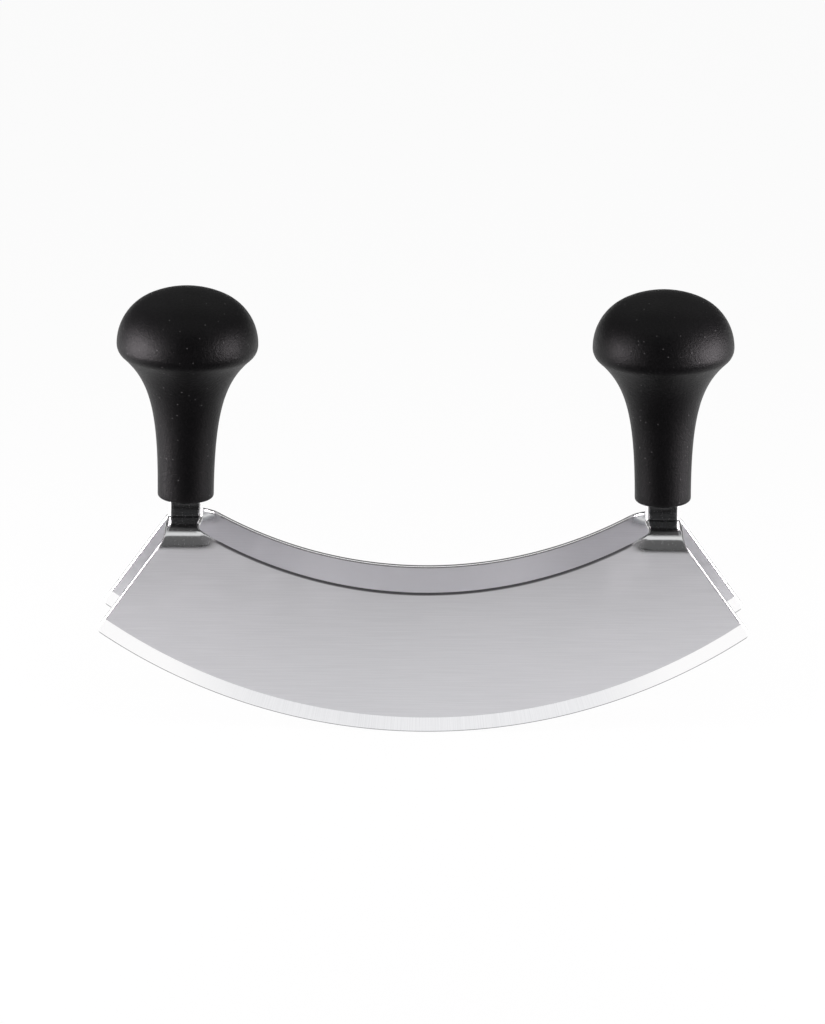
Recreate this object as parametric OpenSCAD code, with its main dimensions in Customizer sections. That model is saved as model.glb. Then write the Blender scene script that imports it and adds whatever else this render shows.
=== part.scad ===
// Double-bladed mezzaluna: two curved steel blades whose bent-in tangs meet
// back to back in the middle plane and carry a moulded knob handle at each end.
// Millimetres. X runs along the blades, Y from front to rear, Z up.
// The origin is the lowest point of the cutting edges, midway between the blades.

/* [Blades] */
// Length of a blade over its sharp lower corners
blade_span = 232; // [222:1:250]
// Radius of the cutting edge
edge_r = 198.5; // [185:0.5:225]
// Height of a blade at its middle, from cutting edge to back
blade_h = 52.2; // [46:0.1:58]
// Radius of the hollow back of a blade
spine_r = 150; // [138:1:165]
// Thickness of the blade sheet
sheet_t = 1.8; // [1.2:0.1:2.4]
// Height of the bevel ground along the cutting edge
bevel_h = 5.4; // [3:0.1:9]
// Thickness left at the cutting edge
edge_land = 0.1; // [0.05:0.05:0.4]
// Radius of the lower corners of a blade
corner_r = 2.3; // [1:0.1:4]
// Clear space between the two blades
blade_gap = 29.2; // [22:0.2:36]

/* [Tabs and tangs] */
// Height of the shelf over the middle of the back
shelf_rise = 23.1; // [20:0.1:25]
// Inside radius of the wide bend at the top of the blade
fold_r = 5.5; // [3.5:0.1:6.5]
// Inside radius of the bend from shelf to tang
heel_r = 0.5; // [0.3:0.1:3]
// Width of a tang
tang_w = 12.4; // [9:0.1:15]
// How far the tang is set in from the end edge, at the foot of the wide bend
tang_inset = 3.2; // [2:0.1:5]
// How much the tab widens towards the middle, at the foot of the wide bend
shelf_flare = 2.4; // [1.5:0.1:3.5]
// Radius of the hollow inner side of the tab
flare_r = 11.4; // [8:0.1:14]
// Radius of the shoulder where the back meets the tab
shoulder_r = 1.3; // [1:0.1:3]
// How far the shoulder stops short of the side of the tang
shoulder_gap = 0.1; // [0:0.1:1]
// Free height of the tang between shelf and handle
neck_h = 7; // [5:0.1:14]
// Length of the tang inside the handle
tang_depth = 50; // [35:1:56]
// Radius of the long edges of a tang
tang_edge_r = 1.5; // [0.3:0.1:1.8]
// Diameter of the holes in a tang that the handle is moulded through
key_hole_d = 5; // [3:0.1:7]
// Height of the lower hole above the foot of the handle
key_low = 14; // [10:0.5:18]
// Distance between the two holes of a tang
key_pitch = 24; // [12:0.5:28]
// Inward lean of tangs and handles, in degrees
lean = 1.2; // [0:0.1:3]

/* [Handles] */
// Height of a handle
handle_h = 76; // [70:0.1:90]
// Diameter of the knob
knob_d = 49.6; // [44:0.1:56]
// Radius of the knob's crown
crown_r = 33; // [29:0.5:40]
// Radius of the knob's rim
rim_r = 18.5; // [12:0.1:20]
// Radius of the rounding under the rim
under_r = 5.7; // [3:0.1:9]
// Slope at which the knob runs into the stem, in degrees from upright
flare_angle = 47.7; // [35:0.1:60]
// Pull of the hollow curve under the knob
flare_pull = 13; // [8:0.1:18]
// Pull of the long curve of the stem
stem_pull = 30.7; // [20:0.1:36]
// Diameter of the handle at its foot
base_d = 19.9; // [17.5:0.1:26]
// Radius around the foot of the handle
base_edge_r = 1.2; // [0.4:0.1:2.5]

/* [Fits] */
// Clearance between a tang and the plastic moulded round it
mould_gap = 0.1; // [0.05:0.05:0.2]

/* [Hidden] */
$fn = 96;

// Points of one quarter turn in the handle outline, and of its long curve
arc_steps = 12;
curve_steps = 24;
// How far a cutting tool reaches past what it cuts
over = 5;

end_angle = asin(blade_span / 2 / edge_r);
spine_cz = blade_h + spine_r;
face_y = blade_gap / 2 + sheet_t;
plate_y = blade_gap / 2 + sheet_t / 2;

// The tab: wide bend at the face, flat shelf, heel bend, upright tang
fold_out_r = fold_r + sheet_t;
heel_out_r = heel_r + sheet_t;
shelf_z = blade_h + shelf_rise;
fold_z = shelf_z - fold_out_r;
tang_z = shelf_z + heel_r;
end_x = (edge_r - fold_z) * tan(end_angle);
tang_out_x = end_x - tang_inset;
tang_x = tang_out_x - tang_w / 2;
tang_in_x = tang_out_x - tang_w;
shoulder_x = tang_in_x - shoulder_gap;
foot_z = shelf_z + neck_h;
tang_l = foot_z - tang_z + tang_depth;
key_heights = [key_low, key_low + key_pitch];
key_d = key_hole_d - 2 * mould_gap;

// Shoulder circle: touches the back's circle and the upright side of the tab
shoulder_cx = shoulder_x - shoulder_r;
shoulder_cz = spine_cz - sqrt(pow(spine_r + shoulder_r, 2) - pow(shoulder_cx, 2));
shoulder_touch_x = shoulder_cx * spine_r / (spine_r + shoulder_r);

// Handle outline: crown, rim and underside arcs, then one long hollow curve
knob_r = knob_d / 2;
base_r = base_d / 2;
crown_cz = handle_h - crown_r;
rim_cx = knob_r - rim_r;
rim_z = crown_cz + sqrt(pow(crown_r - rim_r, 2) - pow(rim_cx, 2));
crown_angle = atan2(rim_z - crown_cz, rim_cx);
under_cx = knob_r - under_r;
flare_start = [under_cx + under_r * cos(flare_angle), rim_z - under_r * sin(flare_angle)];
flare_way = [-sin(flare_angle), -cos(flare_angle)];
stem_foot = [base_r, base_edge_r];

// Points on an arc from angle a to angle b
function arc(c, r, a, b, n) = [for (i = [0 : n]) c + r * [cos(a + (b - a) * i / n), sin(a + (b - a) * i / n)]];

// Point at t on the curve that leaves p along u and arrives at q straight from above
function stem_point(p, u, q, t) =
    pow(1 - t, 3) * p + 3 * pow(1 - t, 2) * t * (p + flare_pull * u)
    + 3 * (1 - t) * t * t * (q + [0, stem_pull]) + t * t * t * q;

handle_outline = concat(
    [[0, 0], [0, handle_h]],
    [for (p = arc([0, crown_cz], crown_r, 90, crown_angle, arc_steps)) if (p[0] > 0.01) p],
    arc([rim_cx, rim_z], rim_r, crown_angle - crown_angle / arc_steps, 0, arc_steps),
    arc([under_cx, rim_z], under_r, -flare_angle / arc_steps, -flare_angle, arc_steps / 2),
    [for (i = [1 : curve_steps]) stem_point(flare_start, flare_way, stem_foot, i / curve_steps)],
    arc([base_r - base_edge_r, base_edge_r], base_edge_r, -90 / arc_steps, -90, arc_steps / 2));

// A disc round the centre of the cutting edge, with the ground bevel on its rim
module edge_disc() {
    translate([0, 0, edge_r]) rotate([90, 0, 0])
        rotate_extrude($fn = 360)
            polygon([
                [0, -sheet_t / 2], [edge_r - bevel_h, -sheet_t / 2], [edge_r, -edge_land / 2],
                [edge_r, edge_land / 2], [edge_r - bevel_h, sheet_t / 2], [0, sheet_t / 2]]);
}

// What a cut takes away so that the sheet is left with a fully rounded edge
module round_edge_cut(reach) {
    difference() {
        translate([-reach, -sheet_t]) square([reach + sheet_t / 2, 2 * sheet_t]);
        translate([sheet_t / 2, 0]) circle(r = sheet_t / 2, $fn = 48);
    }
}

// The hollow back
module spine_cut() {
    translate([0, 0, spine_cz]) rotate([90, 0, 0])
        rotate_extrude($fn = 360)
            intersection() {
                translate([spine_r, 0]) round_edge_cut(spine_r);
                translate([0, -sheet_t]) square([spine_r + sheet_t, 2 * sheet_t]);
            }
}

// The straight end edge on the left, and its rounded lower corner
module end_cut() {
    translate([0, 0, edge_r]) rotate([0, 180 + end_angle, 0]) mirror([1, 0, 0]) {
        linear_extrude(2 * (edge_r + over), center = true) round_edge_cut(2 * edge_r);
        translate([corner_r, 0, edge_r - corner_r]) rotate([90, 0, 0])
            linear_extrude(2 * sheet_t, center = true)
                difference() {
                    translate([-corner_r - over, 0]) square([corner_r + over, corner_r + over]);
                    circle(r = corner_r);
                }
    }
}

// The material beside the tab, and the rounded shoulder of the back
module shoulder_cut() {
    rotate([90, 0, 0]) linear_extrude(2 * sheet_t, center = true) {
        translate([-blade_span, fold_z]) square([blade_span - shoulder_x, edge_r]);
        difference() {
            translate([-shoulder_x - over, shoulder_cz])
                square([shoulder_x + over - shoulder_touch_x, edge_r]);
            translate([-shoulder_cx, shoulder_cz]) circle(r = shoulder_r);
        }
    }
}

// Flat part of a blade, in its own plane
module plate() {
    difference() {
        edge_disc();
        spine_cut();
        for (side = [0, 1]) mirror([side, 0, 0]) {
            end_cut();
            shoulder_cut();
        }
    }
}

// A quarter of a bent sheet along X, from straight below its axis to straight behind it
module quarter_bend(inside_r, width) {
    rotate([0, 90, 0]) translate([0, 0, -width / 2])
        rotate_extrude(angle = 90) translate([inside_r, 0]) square([sheet_t, width]);
}

// Outline of the left tab seen from above: out to the end edge, hollow towards the middle
module tab_from_above() {
    flare_h = sqrt(pow(flare_r, 2) - pow(flare_r - shelf_flare, 2));
    translate([-end_x - over, -face_y]) difference() {
        square([end_x + over - tang_in_x + shelf_flare, face_y]);
        translate([end_x + over - tang_in_x + flare_r, flare_h]) circle(r = flare_r);
        translate([end_x + over - tang_in_x, flare_h]) square([shelf_flare + over, face_y]);
    }
}

// Outline of the left tab seen from the front: the end edge runs on up to the side of the tang
module tab_from_front() {
    tang_meets_z = edge_r - tang_out_x / tan(end_angle);
    polygon([
        [-end_x, fold_z], [-tang_out_x, tang_meets_z], [-tang_out_x, shelf_z + over],
        [0, shelf_z + over], [0, fold_z]]);
}

// Wide bend and shelf of the left tab
module shelf() {
    width = 2 * (end_x + over);
    intersection() {
        union() {
            translate([0, -face_y + fold_out_r, fold_z]) rotate([180, 0, 0]) quarter_bend(fold_r, width);
            translate([-width / 2, -face_y + fold_out_r, shelf_z - sheet_t])
                cube([width, face_y - fold_out_r - heel_out_r, sheet_t]);
        }
        translate([0, 0, fold_z - over]) linear_extrude(2 * over + fold_out_r) tab_from_above();
        rotate([90, 0, 0]) linear_extrude(2 * face_y, center = true) tab_from_front();
    }
}

// Section of one tang, or of the pair with a clearance round it
module tang_section(depth, gap) {
    r = tang_edge_r + gap;
    half = tang_w / 2 + gap;
    intersection() {
        translate([-half, -depth - gap]) square([2 * half, depth + gap]);
        union() {
            translate([-half + r, -depth - gap]) square([2 * (half - r), depth + gap]);
            translate([-half, -depth - gap + r]) square([2 * half, depth + gap]);
            for (side = [-1, 1]) translate([side * (half - r), -depth - gap + r]) circle(r = r, $fn = 32);
        }
    }
}

// Places its children in the leaning frame of the left tang, from its root upwards
module on_tang() {
    translate([-tang_x, 0, tang_z]) rotate([0, lean, 0]) children();
}

// Upright tang of the left tab, with its two holes
module tang() {
    root = 0.3;
    on_tang() difference() {
        translate([0, 0, -root]) linear_extrude(tang_l + root) tang_section(sheet_t, 0);
        for (h = key_heights) translate([0, over, foot_z - tang_z + h])
            rotate([90, 0, 0]) cylinder(d = key_hole_d, h = 2 * over);
    }
}

// Left tab: shelf, heel bend and tang
module tab() {
    shelf();
    translate([-tang_x, -heel_out_r, tang_z]) quarter_bend(heel_r, tang_w);
    tang();
}

// One blade, bent from a single sheet; both blades are this piece
module blade() {
    translate([0, -plate_y, 0]) plate();
    for (side = [0, 1]) mirror([side, 0, 0]) tab();
}

// Blade nearer the user
module front_blade() {
    color("silver") blade();
}

// The same blade turned round, behind the first
module rear_blade() {
    color("darkgray") rotate([0, 0, 180]) blade();
}

// Knob handle on the left pair of tangs, with the plastic that fills their holes
module handle() {
    on_tang() translate([0, 0, foot_z - tang_z]) {
        difference() {
            rotate_extrude() polygon(handle_outline);
            translate([0, 0, -over]) linear_extrude(tang_depth + mould_gap + over)
                for (side = [0, 1]) mirror([0, side, 0]) tang_section(sheet_t, mould_gap);
        }
        for (h = key_heights) translate([0, sheet_t + over / 5, h])
            rotate([90, 0, 0]) cylinder(d = key_d, h = 2 * (sheet_t + over / 5));
    }
}

// Moulded handle on the left
module left_handle() {
    color([0.11, 0.11, 0.11]) handle();
}

// Moulded handle on the right
module right_handle() {
    color([0.11, 0.11, 0.11]) mirror([1, 0, 0]) handle();
}

front_blade();
rear_blade();
left_handle();
right_handle();
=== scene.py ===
import math

import bmesh
import bpy
from mathutils import Matrix, Vector


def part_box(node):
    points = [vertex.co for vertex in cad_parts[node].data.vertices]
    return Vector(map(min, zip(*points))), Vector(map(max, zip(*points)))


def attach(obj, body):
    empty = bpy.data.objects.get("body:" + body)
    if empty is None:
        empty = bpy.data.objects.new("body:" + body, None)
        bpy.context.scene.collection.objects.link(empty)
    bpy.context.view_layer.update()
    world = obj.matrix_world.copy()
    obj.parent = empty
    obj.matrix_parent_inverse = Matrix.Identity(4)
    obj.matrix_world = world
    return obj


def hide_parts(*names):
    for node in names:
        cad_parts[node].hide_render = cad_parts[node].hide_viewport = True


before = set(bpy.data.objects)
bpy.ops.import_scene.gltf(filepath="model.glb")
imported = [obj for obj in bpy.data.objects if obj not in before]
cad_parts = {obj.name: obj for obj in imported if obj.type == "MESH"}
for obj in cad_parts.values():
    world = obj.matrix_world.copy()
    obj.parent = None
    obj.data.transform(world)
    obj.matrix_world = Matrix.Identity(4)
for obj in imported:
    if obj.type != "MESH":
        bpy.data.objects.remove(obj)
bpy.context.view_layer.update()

# Blades. Two like pieces of stainless sheet, each blanked with a tab at both ends of its hollow back.
# A tab is pressed inwards over a wide bend, runs on as a short shelf and turns up as half a tang.
# The faces are satin, the tabs polished, the rims rounded over, and the cutting edge is ground to a V.

front_low, front_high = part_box("front_blade")
sheet_t = 0.0018
plate_y = front_low.y + sheet_t / 2
tang_y = -sheet_t / 2

# The cutting edge and the hollow back are arcs struck from the middle line; the end edges are
# straight and point at the centre of the cutting edge
edge_r = 0.1985
half_span = 0.11599
end_angle = math.asin(half_span / edge_r)
back_r = 0.150
blade_h = 0.0522
back_cz = blade_h + back_r
ground_h = 0.0057
ground_r = edge_r - ground_h
edge_land = 0.0001
lower_corner_r = 0.0023

# The tab, along the middle of the sheet: wide bend, shelf, heel bend and tang
shelf_z = 0.0744
wide_bend_r = 0.0064
fold_z = shelf_z - wide_bend_r
heel_bend_r = 0.0014
tang_z = shelf_z + heel_bend_r
tang_top = front_high.z - 0.0003
tang_in_x = 0.0784
tang_out_x = 0.0908
tang_x = (tang_in_x + tang_out_x) / 2
lean = math.radians(1.2)
waist_in_x = 0.0791
waist_out_x = 0.0912
outer_blend = 0.0006

# Towards the hollow back the bend tightens and climbs, and a fillet leads from the back into the tab
tight_bend_r = 0.0035
tight_x = 0.0735
wide_x = 0.0790
fillet_r = 0.0024
fillet_cx = waist_in_x - fillet_r
fillet_cz = back_cz - math.sqrt((back_r - fillet_r) ** 2 - fillet_cx ** 2)
fillet_low = back_cz - (back_cz - fillet_cz) * back_r / (back_r - fillet_r)

# Rows and columns of the blank, and the roundings of its rims
root_z = 0.0663
side_cell = 0.0025
plate_columns = 40
tab_columns = 13
plate_rows = 6
edge_round = 0.47 * sheet_t
tang_front_round = 0.0015
tang_back_round = 0.00025


def mix(a, b, t):
    return a + (b - a) * t


def smooth(t):
    """Goes from 0 to 1 with level ends."""
    t = min(max(t, 0.0), 1.0)
    return t * t * (3 - 2 * t)


def steps_to(start, end, count):
    """Even steps from start to end, without the start itself."""
    return [mix(start, end, k / count) for k in range(1, count + 1)]


def back_x(height):
    """Where the hollow back reaches a height."""
    return math.sqrt(back_r ** 2 - (back_cz - height) ** 2)


root_angle = math.atan2(back_x(root_z), edge_r - root_z)
bend_l = wide_bend_r * math.pi / 2
shelf_l = tang_y - heel_bend_r - plate_y - wide_bend_r
heel_l = heel_bend_r * math.pi / 2
shelf_start = fold_z + bend_l
heel_start = shelf_start + shelf_l
tang_start = heel_start + heel_l


def top_radius(angle):
    """Distance from the centre of the cutting edge to the top of the plate, along a ray."""
    if angle > root_angle:
        return (edge_r - root_z) / math.cos(angle)
    offset = back_cz - edge_r
    return math.sqrt(back_r ** 2 - (offset * math.sin(angle)) ** 2) - offset * math.cos(angle)


def inner_side(height):
    """Inner side of the tab on the flat blank: hollow back, fillet, waist and tang."""
    if height < fillet_low:
        return back_x(height)
    if height < fillet_cz:
        return fillet_cx + math.sqrt(fillet_r ** 2 - (height - fillet_cz) ** 2)
    return mix(waist_in_x, tang_in_x, smooth((height - fillet_cz) / (tang_start - fillet_cz)))


def outer_side(height):
    """Outer side of the tab on the flat blank: the end edge runs on, then bends up to the tang."""
    turn = min(max(height - fold_z, 0.0) / wide_bend_r, math.pi / 2)
    z = min(height, fold_z) + wide_bend_r * math.sin(turn)
    line = (edge_r - z) * math.tan(end_angle)
    side = mix(waist_out_x, tang_out_x, smooth((height - shelf_start) / (tang_start - shelf_start)))
    return (line + side + math.hypot(line - side, outer_blend)) / 2


def tab_row(height):
    """Where the columns of the tab cross a row: one wide cell at each side and even ones between."""
    inner, outer = inner_side(height), outer_side(height)
    between = steps_to(inner + side_cell, outer - side_cell, tab_columns - 2)
    return [inner, inner + side_cell] + between + [outer]


def bend_radius(x):
    """Radius of the wide bend across the tab."""
    return mix(tight_bend_r, wide_bend_r, smooth((x - tight_x) / (wide_x - tight_x)))


def folded(x, height):
    """Where a point of the flat blank lies once the tab is bent."""
    r = bend_radius(x)
    flat_l = tang_y - heel_bend_r - plate_y - r
    run = height - shelf_z + r
    turn = min(max(run, 0.0) / r, math.pi / 2)
    y = plate_y + r * (1 - math.cos(turn))
    z = min(height, shelf_z - r) + r * math.sin(turn)
    run -= r * math.pi / 2
    y += min(max(run, 0.0), flat_l)
    run -= flat_l
    turn = min(max(run, 0.0) / heel_bend_r, math.pi / 2)
    y += heel_bend_r * math.sin(turn)
    z += heel_bend_r * (1 - math.cos(turn)) + max(run - heel_l, 0.0)
    return Vector((x - max(z - tang_z, 0.0) * math.tan(lean), y, z))


def half_blank():
    """Right half of the flat blank: the plate spun column by column, then the tab drawn on row by row."""
    bm = bmesh.new()
    radii = [edge_r, ground_r] + steps_to(ground_r, edge_r - blade_h, plate_rows)
    column = [bm.verts.new((0, 0, edge_r - r)) for r in radii]
    geom = column + [bm.edges.new(pair) for pair in zip(column, column[1:])]
    angles = [0.0] + steps_to(0.0, root_angle, plate_columns)
    angles += [math.atan2(x, edge_r - root_z) for x in tab_row(root_z)[1:]]
    for start, end in zip(angles, angles[1:]):
        spun = bmesh.ops.spin(
            bm, geom=geom, cent=(0, 0, edge_r), axis=(0, 1, 0), angle=start - end, steps=1)
        geom = spun["geom_last"]

    row = []
    for v in bm.verts:
        angle = math.atan2(v.co.x, edge_r - v.co.z)
        share = (ground_r - math.hypot(v.co.x, edge_r - v.co.z)) / (ground_r - edge_r + blade_h)
        if share > 0:
            r = mix(ground_r, top_radius(angle), share)
            v.co = Vector((r * math.sin(angle), 0, edge_r - r * math.cos(angle)))
        if share > 0.999 and angle > root_angle - 1e-4:
            row.append(v)

    heights = steps_to(root_z, fold_z, 2) + steps_to(fold_z, shelf_start, 18)
    heights += steps_to(shelf_start, heel_start, 5) + steps_to(heel_start, tang_start, 10)
    heights += steps_to(tang_start, tang_start + tang_top - tang_z, 8)
    for height in heights:
        row.sort(key=lambda v: v.co.x)
        edges = [bm.edges.get(pair) for pair in zip(row, row[1:])]
        drawn = bmesh.ops.extrude_edge_only(bm, edges=edges)["geom"]
        row = sorted((v for v in drawn if isinstance(v, bmesh.types.BMVert)), key=lambda v: v.co.x)
        for v, x in zip(row, tab_row(height)):
            v.co = Vector((x, 0, height))

    corner = max(bm.verts, key=lambda v: v.co.x - v.co.z)
    bmesh.ops.bevel(
        bm, geom=[corner], offset=lower_corner_r, segments=6, profile=0.5, affect="VERTICES", material=-1)
    return bm


def ground_to_edge(bm):
    """Thins the plate evenly from the start of the ground edge down to the cutting edge."""
    for v in bm.verts:
        r = math.hypot(v.co.x, edge_r - v.co.z)
        if r > ground_r:
            thinned = mix(1.0, edge_land / sheet_t, (r - ground_r) / ground_h)
            v.co.y = plate_y + (v.co.y - plate_y) * thinned


def round_tangs(bm):
    """Widens the rounding of a tang's front edges and tightens that of its back edges."""
    half_w = (tang_out_x - tang_in_x) / 2
    for v in bm.verts:
        amount = smooth((v.co.z - shelf_z) / (tang_z - shelf_z))
        middle = math.copysign(tang_x - max(v.co.z - tang_z, 0.0) * math.tan(lean), v.co.x)
        side = v.co.x - middle
        deep = half_w - abs(side)
        if amount == 0 or deep > 1.05 * edge_round:
            continue
        front = v.co.y < tang_y
        wanted = tang_front_round if front else tang_back_round
        scale = mix(1.0, wanted / edge_round, amount)
        face_y = 2 * tang_y if front else 0.0
        v.co.x = middle + math.copysign(half_w - deep * scale, side)
        if v.co.z > tang_z - heel_bend_r / 2:
            v.co.y = face_y + (v.co.y - face_y) * scale


def pressed_blade():
    """The whole blade: blank folded, mirrored, given its thickness, rounded and ground."""
    bm = half_blank()
    for v in bm.verts:
        v.co = folded(v.co.x, v.co.z)
    bmesh.ops.mirror(bm, geom=bm.verts[:] + bm.edges[:] + bm.faces[:], axis="X", merge_dist=1e-6)
    bmesh.ops.remove_doubles(bm, verts=bm.verts, dist=1e-6)
    bmesh.ops.recalc_face_normals(bm, faces=bm.faces)
    lowest = min(bm.faces, key=lambda f: f.calc_center_median().z)
    if lowest.normal.y > 0:
        bmesh.ops.reverse_faces(bm, faces=bm.faces)
    bm.normal_update()
    for v, normal in [(v, v.normal.copy()) for v in bm.verts]:
        v.co += normal * sheet_t / 2
    bmesh.ops.solidify(bm, geom=bm.faces[:], thickness=sheet_t)
    bmesh.ops.recalc_face_normals(bm, faces=bm.faces)
    rims = [e for e in bm.edges if e.calc_face_angle(0) > math.radians(60)]
    bmesh.ops.bevel(
        bm, geom=rims, offset=edge_round, segments=4, profile=0.5, affect="EDGES",
        clamp_overlap=False, material=-1)
    round_tangs(bm)
    ground_to_edge(bm)
    return bm


def dress(name, bm, node, slot, *materials):
    """Makes a piece of a finished bmesh, riding with the CAD and standing for one of its nodes."""
    mesh = bpy.data.meshes.new(name)
    bm.to_mesh(mesh)
    bm.free()
    for material in materials:
        mesh.materials.append(material)
    piece = bpy.data.objects.new(name, mesh)
    bpy.context.scene.collection.objects.link(piece)
    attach(piece, "root")
    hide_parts(node)
    return piece


def feed(tree, node, inputs):
    """Sets inputs of a shader node to values, or links them from other nodes' outputs."""
    for key, value in inputs.items():
        if isinstance(value, bpy.types.NodeSocket):
            tree.links.new(value, node.inputs[key])
        else:
            node.inputs[key].default_value = value


def add(tree, kind, inputs, **settings):
    """Adds a shader node with its settings, and feeds its inputs."""
    made = tree.nodes.new("ShaderNode" + kind)
    for key, value in settings.items():
        setattr(made, key, value)
    feed(tree, made, inputs)
    return made


def maths(tree, operation, a, b):
    """One Math node, as the value that it puts out."""
    return add(tree, "Math", {0: a, 1: b}, operation=operation).outputs[0]


def times(tree, first, *others):
    """The product of several values or masks."""
    for other in others:
        first = maths(tree, "MULTIPLY", first, other)
    return first


def between(tree, value, low, high, to_low=0.0, to_high=1.0):
    """Maps the stretch from low to high onto another, with soft ends."""
    spread = add(
        tree, "MapRange", {"Value": value, 1: low, 2: high, 3: to_low, 4: to_high},
        interpolation_type="SMOOTHSTEP")
    return spread.outputs["Result"]


def blend(tree, share, a, b):
    """Mixes two colours by a share that varies over the surface."""
    made = add(tree, "Mix", {0: share, 6: a, 7: b}, data_type="RGBA")
    return made.outputs[2]


def effect(name, inputs, outputs):
    """An empty node group with named sockets, and its two ends."""
    group = bpy.data.node_groups.new(name, "ShaderNodeTree")
    for socket, kind in inputs:
        group.interface.new_socket(socket, in_out="INPUT", socket_type="NodeSocket" + kind)
    for socket in outputs:
        group.interface.new_socket(socket, in_out="OUTPUT", socket_type="NodeSocketFloat")
    return group, group.nodes.new("NodeGroupInput"), group.nodes.new("NodeGroupOutput")


# Fine parallel lines, as an abrasive belt leaves them; distances along and across are in metres
line_layers = [(0.030, 0.00022), (0.022, 0.00045)]
fine_lines, start, end = effect("fine_lines", [("Along", "Float"), ("Across", "Float")], ["Lines"])
layers = []
for length, spacing in line_layers:
    along = times(fine_lines, start.outputs["Along"], 1 / length)
    across = times(fine_lines, start.outputs["Across"], 1 / spacing)
    drawn = add(fine_lines, "CombineXYZ", {"X": along, "Y": across})
    layers.append(add(
        fine_lines, "TexNoise", {"Vector": drawn.outputs[0], "Scale": 1.0, "Detail": 2.0, "Roughness": 0.6}))
both = maths(fine_lines, "ADD", layers[0].outputs[0], layers[1].outputs[0])
feed(fine_lines, end, {"Lines": between(fine_lines, both, 0.75, 1.25)})

# Soft blotches that handling and wiping leave
handling, start, end = effect("handling_marks", [("Vector", "Vector"), ("Size", "Float")], ["Marks"])
scale = maths(handling, "DIVIDE", 1.0, start.outputs["Size"])
broad = add(handling, "TexNoise", {
    "Vector": start.outputs["Vector"], "Scale": scale, "Detail": 5.0, "Roughness": 0.62, "Distortion": 0.6})
feed(handling, end, {"Marks": between(handling, broad.outputs[0], 0.38, 0.68)})

# Sparse specks of dust and small pits: a dot in the middle of a few cells
dot_edge, dot_full = 0.16, 0.08
empty_share = 0.72
specks, start, end = effect("specks", [("Vector", "Vector"), ("Spacing", "Float")], ["Specks"])
scale = maths(specks, "DIVIDE", 1.0, start.outputs["Spacing"])
cells = add(specks, "TexVoronoi", {"Vector": start.outputs["Vector"], "Scale": scale})
dot = between(specks, cells.outputs["Distance"], dot_edge, dot_full)
chance = add(specks, "SeparateColor", {0: cells.outputs["Color"]})
rare = maths(specks, "GREATER_THAN", chance.outputs[0], empty_share)
feed(specks, end, {"Specks": times(specks, dot, rare)})


def new_finish(name):
    """An empty material: its tree, its Principled shader and the object's own coordinates."""
    material = bpy.data.materials.new(name)
    material.use_nodes = True
    tree = material.node_tree
    place = add(tree, "TexCoord", {}).outputs["Object"]
    return material, tree, tree.nodes["Principled BSDF"], place


# Satin steel, brushed lengthways, that turns into the bright polish of the bent tabs. The rims of the plate
# are polished too and get a painted highlight, near white, with a painted dark line where each starts and a
# darker painted middle. The outer half of the back's rim and the neck carry painted dark reflections, and
# the middles of the inner faces are painted lighter.
steel, tree, shader, place = new_finish("satin_and_polished_steel")
axes = add(tree, "SeparateXYZ", {0: place}).outputs
x_away, y_away = [maths(tree, "ABSOLUTE", axes[axis], 0.0) for axis in "XY"]
lines = add(tree, "Group", {"Along": axes["X"], "Across": axes["Z"]}, node_tree=fine_lines).outputs["Lines"]
marks = add(tree, "Group", {"Vector": place, "Size": 0.035}, node_tree=handling).outputs["Marks"]
dust = add(tree, "Group", {"Vector": place, "Spacing": 0.0005}, node_tree=specks).outputs["Specks"]

# The polish of the tab fades in up the blade and outwards
polish_foot_z, polish_full_z = 0.0666, 0.0698
polish_inner_x, polish_full_x = 0.0690, 0.0790
tab = times(
    tree, between(tree, axes["Z"], polish_foot_z, polish_full_z),
    between(tree, x_away, polish_inner_x, polish_full_x))

# The rim's zones go by the distance from the middle of the sheet, so only the unbent plate has them
bent_foot_z, bent_full_z = 0.0664, 0.0674
bent_inner_x, bent_full_x = 0.0725, 0.0745
bent = times(
    tree, between(tree, axes["Z"], bent_foot_z, bent_full_z),
    between(tree, x_away, bent_inner_x, bent_full_x))
plate = maths(tree, "SUBTRACT", 1.0, bent)
rim_from, rim_full = 0.00089, 0.00080
dull_from, dull_full = 0.00062, 0.00052
line_from, line_full = 0.000897, 0.000892
line_end, line_fade = 0.00081, 0.00085
from_middle = maths(tree, "ABSOLUTE", maths(tree, "SUBTRACT", y_away, -plate_y), 0.0)
# The rim mask sets the real polish and a painted near-white highlight; within it lie a painted darker middle
# and a painted dark line where it starts
rim = times(tree, plate, between(tree, from_middle, rim_from, rim_full))
painted_dark_rim_middle = times(tree, plate, between(tree, from_middle, dull_from, dull_full))
painted_dark_rim_line = times(
    tree, plate, between(tree, from_middle, line_from, line_full),
    between(tree, from_middle, line_end, line_fade))
polish = maths(tree, "MAXIMUM", tab, rim)

# The neck is painted dark, as a painted dark reflection under the knob, with painted highlights along its
# rounded sides
neck_from_y, neck_full_y = 0.0098, 0.0084
side_from_x, side_full_x = 0.0046, 0.0051
neck = times(tree, tab, between(tree, y_away, neck_from_y, neck_full_y))
from_tang = maths(tree, "ABSOLUTE", maths(tree, "SUBTRACT", x_away, tang_x), 0.0)
painted_highlight_neck_side = times(tree, neck, between(tree, from_tang, side_from_x, side_full_x))

# Painted light: the inner faces are painted lighter, and made a little less metallic, in their middle than
# towards their ends
inner_from_y, inner_full_y = 0.0150, 0.0148
middle_end_x, middle_full_x = 0.070, 0.030
painted_light_inner_middle = times(
    tree, between(tree, y_away, inner_from_y, inner_full_y),
    between(tree, x_away, middle_end_x, middle_full_x))
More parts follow.
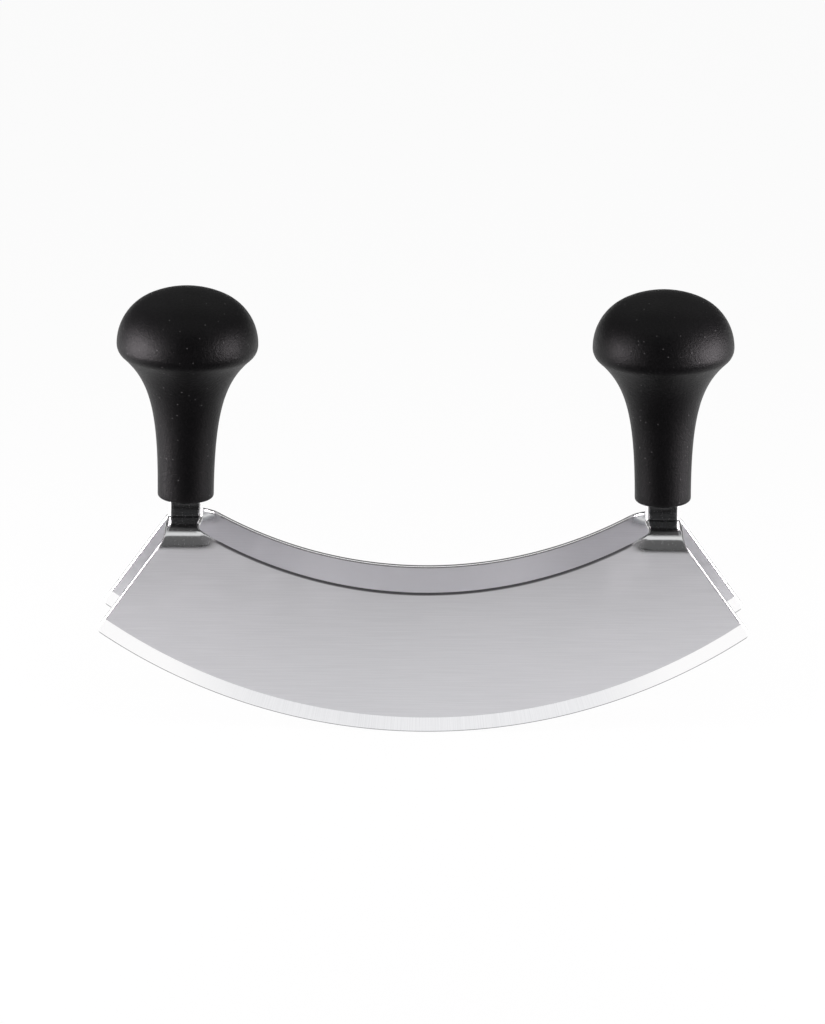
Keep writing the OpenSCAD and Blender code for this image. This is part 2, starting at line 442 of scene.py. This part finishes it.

# The painted dark reflection on the back's rim lies within a millimetre of the back's arc, on the outer half
# of the sheet
dark_back_rim_end, dark_back_rim_full = 0.0012, 0.0008
outer_from_y, outer_full_y = 0.0150, 0.0152
to_back = add(tree, "VectorMath", {0: place, 1: (0, 1, 0)}, operation="CROSS_PRODUCT")
offset = add(tree, "VectorMath", {0: to_back.outputs[0], 1: (back_cz, 0, 0)}, operation="ADD")
back_away = add(tree, "VectorMath", {0: offset.outputs[0]}, operation="LENGTH").outputs["Value"]
painted_dark_back_rim = times(
    tree, rim, between(tree, back_away, back_r + dark_back_rim_end, back_r + dark_back_rim_full),
    between(tree, y_away, outer_from_y, outer_full_y))

satin = maths(tree, "SUBTRACT", 1.0, polish)
brushed = times(tree, lines, satin)
speckled = times(tree, dust, tab)
colour = blend(tree, brushed, (0.59, 0.597, 0.613, 1), (0.63, 0.637, 0.653, 1))
# Of these tints, the lighter inner middles, the near-white rims and neck sides, the darker rim middles and
# rim lines, the dark neck and the dark back rim are painted light and shade; the tab's tint and the dust are
# the steel's own
for mask, tint in [
        (painted_light_inner_middle, (0.81, 0.815, 0.83, 1)),
        (rim, (0.97, 0.97, 0.97, 1)),
        (painted_dark_rim_middle, (0.42, 0.42, 0.43, 1)),
        (painted_dark_rim_line, (0.36, 0.36, 0.37, 1)),
        (tab, (0.64, 0.645, 0.65, 1)),
        (neck, (0.27, 0.275, 0.28, 1)),
        (painted_highlight_neck_side, (0.97, 0.97, 0.97, 1)),
        (painted_dark_back_rim, (0.12, 0.12, 0.125, 1)),
        (times(tree, speckled, 0.6), (0.9, 0.9, 0.9, 1))]:
    colour = blend(tree, mask, colour, tint)
rough = between(tree, marks, 0.0, 1.0, 0.40, 0.46)
rough = maths(tree, "ADD", rough, times(tree, brushed, 0.03))
rough = times(tree, rough, between(tree, polish, 0.0, 1.0, 1.0, 0.52))
rough = maths(tree, "ADD", rough, times(tree, speckled, 0.3))
rough = maths(tree, "ADD", rough, times(tree, painted_dark_back_rim, 0.3))
metal = between(tree, polish, 0.0, 1.0, 0.88, 1.0)
metal = maths(tree, "SUBTRACT", metal, times(tree, painted_light_inner_middle, 0.08))
relief = add(tree, "Bump", {"Height": brushed, "Strength": 0.25, "Distance": 0.000004}).outputs["Normal"]
feed(tree, shader, {"Base Color": colour, "Roughness": rough, "Metallic": metal, "Normal": relief})

# Ground edge, with lines that run square to the cutting edge; a painted highlight makes it brighter towards
# the ends, and a fine painted dark reflection lines the very edge and the turn onto the end edges
ends_from_x, ends_full_x = 0.050, 0.095
dark_edge_from, dark_edge_full = 0.00035, 0.00020
turn_from, turn_full = 0.0012, 0.0007
ground, tree, shader, place = new_finish("ground_edge_steel")
axes = add(tree, "SeparateXYZ", {0: place}).outputs
down = maths(tree, "SUBTRACT", edge_r, axes["Z"])
x_away = maths(tree, "ABSOLUTE", axes["X"], 0.0)
r_squared = maths(tree, "ADD", times(tree, x_away, x_away), times(tree, down, down))
r_away = maths(tree, "SQRT", r_squared, 0.0)
angle = maths(tree, "ARCTAN2", axes["X"], down)
round_edge = times(tree, angle, ground_r)
lines = add(tree, "Group", {"Along": r_away, "Across": round_edge}, node_tree=fine_lines).outputs["Lines"]
# Painted highlight: the ground edge is painted lighter towards the ends
ends = between(tree, x_away, ends_from_x, ends_full_x)
scored = times(tree, lines, maths(tree, "SUBTRACT", 1.0, ends))
# Painted dark reflection: a fine dark line along the very edge and along the turn onto the end edges
painted_dark_edge = between(tree, r_away, edge_r - dark_edge_from, edge_r - dark_edge_full)
painted_dark_turn = between(tree, maths(tree, "ABSOLUTE", angle, 0.0), end_angle - turn_from, end_angle - turn_full)
colour = blend(tree, scored, (0.82, 0.825, 0.84, 1), (0.89, 0.895, 0.91, 1))
colour = blend(tree, ends, colour, (0.99, 0.99, 0.99, 1))
colour = blend(tree, maths(tree, "MAXIMUM", painted_dark_edge, painted_dark_turn), colour, (0.30, 0.30, 0.31, 1))
rough = between(tree, scored, 0.0, 1.0, 0.28, 0.34)
relief = add(tree, "Bump", {"Height": scored, "Strength": 0.25, "Distance": 0.000004}).outputs["Normal"]
feed(tree, shader, {"Base Color": colour, "Roughness": rough, "Metallic": 1.0, "Normal": relief})

for name, node, turn in [
        ("front_blade_steel", "front_blade", 0),
        ("rear_blade_steel", "rear_blade", math.pi)]:
    bm = pressed_blade()
    bmesh.ops.rotate(bm, verts=bm.verts, matrix=Matrix.Rotation(turn, 3, "Z"))
    bmesh.ops.recalc_face_normals(bm, faces=bm.faces)
    for f in bm.faces:
        centre = f.calc_center_median()
        f.smooth = True
        f.material_index = int(math.hypot(centre.x, edge_r - centre.z) > ground_r)
    for e in bm.edges:
        e.smooth = len({f.material_index for f in e.link_faces}) == 1
    piece = dress(name, bm, node, "blade_steel", steel, ground)
    weighted = piece.modifiers.new("flat_faces", "WEIGHTED_NORMAL")
    weighted.keep_sharp = True

# Handles. Two like knobs of black plastic, each moulded in one shot round a pair of tangs.
# A knob on a stem that narrows in one long hollow curve; its foot is flat with a small radius,
# and the tangs come out of a slot in its middle.

handle_h = 0.07599
knob_r = 0.024795
crown_r = 0.033
rim_r = 0.0185
under_r = 0.0057
flare_angle = math.radians(47.7)
flare_pull = 0.013
stem_pull = 0.0307
foot_r = 0.00995
foot_round = 0.0012
slot_gap = 0.0001
slot_depth = 0.0501
foot_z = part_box("left_handle")[0].z + (foot_r - foot_round) * math.sin(lean)

crown_cz = handle_h - crown_r
rim_cx = knob_r - rim_r
rim_z = crown_cz + math.sqrt((crown_r - rim_r) ** 2 - rim_cx ** 2)
crown_angle = math.atan2(rim_z - crown_cz, rim_cx)


def arc(cx, cz, r, start, end, steps):
    """Points on an arc, without its first one."""
    return [(cx + r * math.cos(a), cz + r * math.sin(a)) for a in steps_to(start, end, steps)]


def hollow(p, u, q, steps):
    """Points on the curve that leaves p along u and arrives at q from straight above."""
    a = p + u * flare_pull
    b = q + Vector((0, stem_pull))
    points = []
    for t in steps_to(0, 1, steps):
        points.append(p * (1 - t) ** 3 + 3 * a * t * (1 - t) ** 2 + 3 * b * t * t * (1 - t) + q * t ** 3)
    return points


def moulded_handle(side):
    """One handle: outline turned round its axis, slot for the tangs, leaned and set in place."""
    outline = [(0, handle_h)]
    outline += arc(0, crown_cz, crown_r, math.pi / 2, crown_angle, 14)
    outline += arc(rim_cx, rim_z, rim_r, crown_angle, 0, 18)
    outline += arc(knob_r - under_r, rim_z, under_r, 0, -flare_angle, 10)
    down = Vector((-math.sin(flare_angle), -math.cos(flare_angle)))
    outline += hollow(Vector(outline[-1]), down, Vector((foot_r, foot_round)), 36)
    outline += arc(foot_r - foot_round, foot_round, foot_round, 0, -math.pi / 2, 6)
    bm = bmesh.new()
    verts = [bm.verts.new((p[0], 0, p[1])) for p in outline]
    edges = [bm.edges.new(pair) for pair in zip(verts, verts[1:])]
    bmesh.ops.spin(
        bm, geom=verts + edges, cent=(0, 0, 0), axis=(0, 0, 1), angle=2 * math.pi, steps=96, use_merge=True)
    bmesh.ops.remove_doubles(bm, verts=bm.verts, dist=1e-6)
    foot = [e for e in bm.edges if e.is_boundary]

    slot = bmesh.ops.create_grid(bm, x_segments=1, y_segments=1, size=1)["verts"]
    slot_size = (tang_out_x - tang_in_x + 2 * slot_gap, 2 * (sheet_t + slot_gap), 1)
    bmesh.ops.scale(bm, verts=slot, vec=[length / 2 for length in slot_size])
    bmesh.ops.bevel(
        bm, geom=slot, offset=tang_front_round, segments=5, profile=0.5, affect="VERTICES", material=-1)
    floor = [f for f in bm.faces if len(f.verts) > 20]
    mouth = floor[0].edges[:]
    bmesh.ops.delete(bm, geom=floor, context="FACES_ONLY")
    bmesh.ops.triangle_fill(bm, use_beauty=True, edges=foot + mouth)
    walls = bmesh.ops.extrude_edge_only(bm, edges=mouth)["geom"]
    top = [v for v in walls if isinstance(v, bmesh.types.BMVert)]
    bmesh.ops.translate(bm, verts=top, vec=(0, 0, slot_depth))
    bmesh.ops.contextual_create(bm, geom=[e for e in bm.edges if e.is_boundary])
    bmesh.ops.recalc_face_normals(bm, faces=bm.faces)
    for f in bm.faces:
        f.smooth = True
    for e in bm.edges:
        e.smooth = e.calc_face_angle(0) < math.radians(40)
    bmesh.ops.translate(bm, verts=bm.verts, vec=(0, 0, foot_z - tang_z))
    bmesh.ops.rotate(bm, verts=bm.verts, cent=(0, 0, 0), matrix=Matrix.Rotation(-side * lean, 3, "Y"))
    bmesh.ops.translate(bm, verts=bm.verts, vec=(side * tang_x, 0, tang_z))
    return bm


# Black plastic with the fine grain of a spark-eroded mould, a little shinier where it was held
fine_grain, coarse_grain = 2100.0, 1100.0
plastic, tree, shader, place = new_finish("grained_black_plastic")
fine = add(
    tree, "TexNoise", {"Vector": place, "Scale": fine_grain, "Detail": 3.0, "Roughness": 0.65}).outputs[0]
coarse = add(
    tree, "TexNoise", {"Vector": place, "Scale": coarse_grain, "Detail": 2.0, "Roughness": 0.5}).outputs[0]
marks = add(tree, "Group", {"Vector": place, "Size": 0.022}, node_tree=handling).outputs["Marks"]
dust = add(tree, "Group", {"Vector": place, "Spacing": 0.0021}, node_tree=specks).outputs["Specks"]
grained = between(tree, fine, 0.35, 0.7)
colour = blend(tree, grained, (0.0008, 0.0008, 0.0010, 1), (0.0032, 0.0030, 0.0034, 1))
colour = blend(tree, times(tree, dust, 0.5), colour, (0.09, 0.09, 0.09, 1))
rough = between(tree, marks, 0.0, 1.0, 0.44, 0.38)
height = maths(tree, "ADD", fine, coarse)
relief = add(tree, "Bump", {"Height": height, "Strength": 1.0, "Distance": 0.0001}).outputs["Normal"]
feed(tree, shader, {"Base Color": colour, "Roughness": rough, "Normal": relief, "Specular IOR Level": 0.13})

dress("left_handle_moulding", moulded_handle(-1), "left_handle", "handle_plastic", plastic)
dress("right_handle_moulding", moulded_handle(1), "right_handle", "handle_plastic", plastic)

# Studio, which is no part of the object. The floor is one pale sheet that fills the picture, with soft
# lamps low on both sides and two overhead. Two black cards lie in front of the object and a grey one
# hangs there, level with its tabs; they show only in reflections, as the dark side of the room.


def staged(name, size, place, material):
    """A flat sheet of the studio."""
    bm = bmesh.new()
    bmesh.ops.create_grid(bm, x_segments=1, y_segments=1, size=0.5)
    bmesh.ops.scale(bm, verts=bm.verts, vec=(size[0], size[1], 1))
    bmesh.ops.translate(bm, verts=bm.verts, vec=place)
    mesh = bpy.data.meshes.new(name)
    bm.to_mesh(mesh)
    bm.free()
    mesh.materials.append(material)
    sheet = bpy.data.objects.new(name, mesh)
    bpy.context.scene.collection.objects.link(sheet)
    return sheet


# The floor mostly glows where it is seen or mirrored, and is matte for all other light
glow_share = 0.95
pale = bpy.data.materials.new("pale_floor")
pale.use_nodes = True
tree = pale.node_tree
tree.nodes.clear()
paths = add(tree, "LightPath", {}).outputs
matte = add(tree, "BsdfDiffuse", {"Color": (0.85, 0.85, 0.85, 1)})
white = add(tree, "Emission", {"Color": (1, 1, 1, 1), "Strength": 1.0})
seen = maths(tree, "MAXIMUM", paths["Is Camera Ray"], paths["Is Glossy Ray"])
seen = maths(tree, "MAXIMUM", seen, paths["Is Transmission Ray"])
share = times(tree, seen, glow_share)
mixed = add(tree, "MixShader", {0: share, 1: matte.outputs[0], 2: white.outputs[0]})
add(tree, "OutputMaterial", {"Surface": mixed.outputs[0]})
staged("floor", (12, 12), (0, 0, 0), pale)

black = bpy.data.materials.new("black_card")
black.use_nodes = True
feed(black.node_tree, black.node_tree.nodes["Principled BSDF"], {
    "Base Color": (0.005, 0.005, 0.005, 1), "Specular IOR Level": 0})
near_card = staged("near_black_card", (0.42, 0.71), (0, -0.545, 0.001), black)
far_card = staged("far_black_card", (3.0, 5.0), (0, -3.4, 0.001), black)

grey = bpy.data.materials.new("grey_card")
grey.use_nodes = True
tree = grey.node_tree
tree.nodes.clear()
dim = add(tree, "Emission", {"Color": (1, 1, 1, 1), "Strength": 0.13})
add(tree, "OutputMaterial", {"Surface": dim.outputs[0]})
high_card = staged("grey_card", (0.60, 0.304), (0, -0.170, 0.077), grey)
for card in (near_card, far_card, high_card):
    card.visible_camera = False
    card.visible_diffuse = False
    card.visible_shadow = False

world = bpy.data.worlds.new("studio")
bpy.context.scene.world = world
world.use_nodes = True
world.node_tree.nodes["Background"].inputs["Color"].default_value = (0.16, 0.16, 0.16, 1)


def softbox(name, place, aim, width, height, radiance, colour=(1, 1, 1)):
    """A rectangular lamp that shows in reflections but not to the camera."""
    lamp = bpy.data.lights.new(name, "AREA")
    lamp.shape = "RECTANGLE"
    lamp.size = width
    lamp.size_y = height
    lamp.color = colour
    lamp.energy = radiance * math.pi * width * height
    rig = bpy.data.objects.new(name, lamp)
    rig.location = place
    rig.rotation_euler = (Vector(aim) - Vector(place)).to_track_quat("-Z", "Y").to_euler()
    rig.visible_camera = False
    bpy.context.scene.collection.objects.link(rig)


warm = (1, 0.93, 0.97)
softbox("left_softbox", (-0.50, -0.12, 0.13), (0, 0, 0.08), 0.42, 0.26, 15.5, warm)
softbox("right_softbox", (0.50, -0.12, 0.13), (0, 0, 0.08), 0.42, 0.26, 14.0, warm)
softbox("top_softbox", (0, 0.25, 1.05), (0, 0, 0.05), 1.8, 1.3, 0.45)
softbox("front_top_softbox", (0, -0.45, 0.95), (0, 0, 0.05), 2.2, 0.34, 0.9)

camera_data = bpy.data.cameras.new("camera")
camera = bpy.data.objects.new("camera", camera_data)
bpy.context.scene.collection.objects.link(camera)
bpy.context.scene.camera = camera
camera_data.lens = 142.9
camera_data.sensor_width = 36
camera_data.clip_start = 0.05
camera_data.clip_end = 50
elevation = 0.302
distance = 1.440
roll = 0.0075
aim_right, aim_up = -0.0041, -0.0027
target = Vector((0, 0, 0.08))
back = Vector((0, -math.cos(elevation), math.sin(elevation)))
up = Vector((0, math.sin(elevation), math.cos(elevation)))
camera.location = target + back * distance
aim = target + Vector((aim_right, 0, 0)) + up * aim_up
way = (aim - camera.location).to_track_quat("-Z", "Y").to_matrix().to_4x4()
camera.rotation_euler = (way @ Matrix.Rotation(roll, 4, "Z")).to_euler()

scene = bpy.context.scene
scene.view_settings.view_transform = "Standard"
